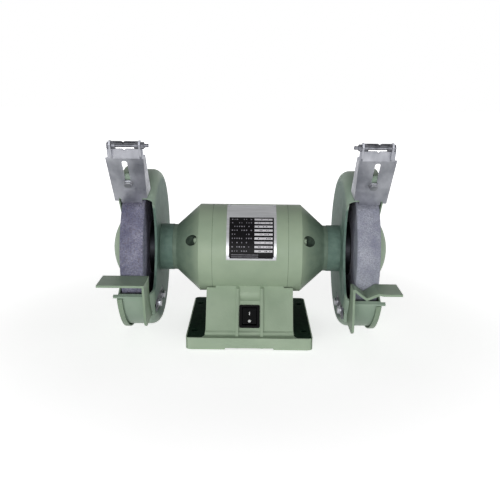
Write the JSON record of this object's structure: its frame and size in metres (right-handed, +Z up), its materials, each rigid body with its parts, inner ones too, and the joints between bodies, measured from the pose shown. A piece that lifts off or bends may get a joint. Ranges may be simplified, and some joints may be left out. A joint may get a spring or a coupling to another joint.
{
  "type": "bench grinder",
  "caption": "Double-ended bench grinder: a motor on a cast pedestal turns guarded grinding wheels, with sliding tool rests and slotted eye-shield brackets.",
  "frame": {"origin": "centre of the base bolt rectangle on the bench plane", "axes": "+X along the shaft to the fine wheel, -Y to the front where the tool rests are, +Z up"},
  "size_m": [0.4006, 0.2665, 0.2939],
  "materials": {
    "green_enamel": "grey-green stoving enamel, slightly rough",
    "zinc_sheet": "zinc-plated sheet steel, dull",
    "zinc_fasteners": "zinc-plated steel",
    "black_plastic": "black moulded plastic",
    "capacitor_case": "drawn aluminium can",
    "spring_steel": "bright spring steel",
    "white_plastic": "off-white moulded plastic",
    "lamination_steel": "stacked sheet steel",
    "winding_copper": "enamelled copper wire",
    "end_ring_aluminium": "die-cast aluminium",
    "bearing_steel": "ground bearing steel",
    "machined_steel": "turned steel",
    "plate_aluminium": "printed aluminium plate",
    "coarse_abrasive": "vitrified coarse grit, matt",
    "fine_abrasive": "vitrified fine grit, matt",
    "blotter_paper": "plain blotting paper",
    "dark_steel": "black oxide steel"
  },
  "bodies": {
    "frame": {"base_casting": "green_enamel", "bottom_plate": "zinc_sheet", "bottom_plate_screws": "zinc_fasteners", "cable_gland": "black_plastic", "capacitor": "capacitor_case", "capacitor_clamp": "spring_steel", "terminal_block": "white_plastic", "switch_housing": "black_plastic", "motor_shell": "green_enamel", "left_end_bell": "green_enamel", "right_end_bell": "green_enamel", "through_bolts": "green_enamel", "stator_core": "lamination_steel", "stator_windings": "winding_copper", "left_bearing_outer": "bearing_steel", "right_bearing_outer": "bearing_steel", "wave_washer": "spring_steel", "saddle_bolts": "zinc_fasteners", "nameplate": "plate_aluminium", "nameplate_rivets": "zinc_fasteners", "left_inner_guard": "green_enamel", "right_inner_guard": "green_enamel", "guard_screws": "zinc_fasteners", "left_outer_cover": "green_enamel", "right_outer_cover": "green_enamel", "cover_screws": "zinc_fasteners", "bracket_screws": "zinc_fasteners"},
    "rotor": {"shaft": "machined_steel", "rotor_core": "lamination_steel", "rotor_end_rings": "end_ring_aluminium", "left_bearing_inner": "bearing_steel", "right_bearing_inner": "bearing_steel", "inner_flanges": "machined_steel", "outer_flanges": "machined_steel", "left_wheel": "coarse_abrasive", "right_wheel": "fine_abrasive", "wheel_blotters": "blotter_paper", "left_arbor_nut": "zinc_fasteners", "right_arbor_nut": "zinc_fasteners"},
    "left_balls": {"left_bearing_balls": "bearing_steel"},
    "right_balls": {"right_bearing_balls": "bearing_steel"},
    "rocker": {"switch_rocker": "black_plastic"},
    "left_rest": {"left_tool_rest": "green_enamel", "left_rest_bolts": "zinc_fasteners", "left_clamp_plate": "dark_steel"},
    "left_bracket": {"left_shield_bracket": "zinc_sheet", "left_hinge_rod": "zinc_fasteners", "left_rod_nut": "zinc_fasteners"},
    "left_clamp": {"left_shield_clamp": "dark_steel"},
    "right_rest": {"right_tool_rest": "green_enamel", "right_rest_bolts": "zinc_fasteners", "right_clamp_plate": "dark_steel"},
    "right_bracket": {"right_shield_bracket": "zinc_sheet", "right_hinge_rod": "zinc_fasteners", "right_rod_nut": "zinc_fasteners"},
    "right_clamp": {"right_shield_clamp": "dark_steel"}
  },
  "joints": [
    {"name": "rotor_spin", "type": "hinge", "parent": "frame", "child": "rotor", "pos_m": [0, 0, 0.125], "axis": [1, 0, 0], "continuous": true},
    {"name": "left_balls_roll", "type": "hinge", "parent": "frame", "child": "left_balls", "pos_m": [-0.104, 0, 0.125], "axis": [1, 0, 0], "continuous": true},
    {"name": "right_balls_roll", "type": "hinge", "parent": "frame", "child": "right_balls", "pos_m": [0.104, 0, 0.125], "axis": [1, 0, 0], "continuous": true},
    {"name": "switch_rock", "type": "hinge", "parent": "frame", "child": "rocker", "pos_m": [0, -0.06533, 0.03873], "axis": [1, 0, 0], "range_deg": [0, 16]},
    {"name": "left_rest_slide", "type": "slide", "parent": "frame", "child": "left_rest", "axis": [0, -1, 0], "range_m": [-0.001, 0.014]},
    {"name": "left_bracket_slide", "type": "slide", "parent": "frame", "child": "left_bracket", "axis": [0, -0.6626, 0.749], "range_m": [-0.0015, 0.0055]},
    {"name": "left_clamp_turn", "type": "hinge", "parent": "left_bracket", "child": "left_clamp", "pos_m": [-0.157, -0.13989, 0.28764], "axis": [1, 0, 0], "range_deg": [-60, 60]},
    {"name": "right_rest_slide", "type": "slide", "parent": "frame", "child": "right_rest", "axis": [0, -1, 0], "range_m": [-0.001, 0.014]},
    {"name": "right_bracket_slide", "type": "slide", "parent": "frame", "child": "right_bracket", "axis": [0, -0.6626, 0.749], "range_m": [-0.0015, 0.0055]},
    {"name": "right_clamp_turn", "type": "hinge", "parent": "right_bracket", "child": "right_clamp", "pos_m": [0.157, -0.13989, 0.28764], "axis": [1, 0, 0], "range_deg": [-60, 60]}
  ],
  "couplings": [
    {"joint": "left_balls_roll", "follows": "rotor_spin", "ratio": 0.3815},
    {"joint": "right_balls_roll", "follows": "rotor_spin", "ratio": 0.3815}
  ]
}
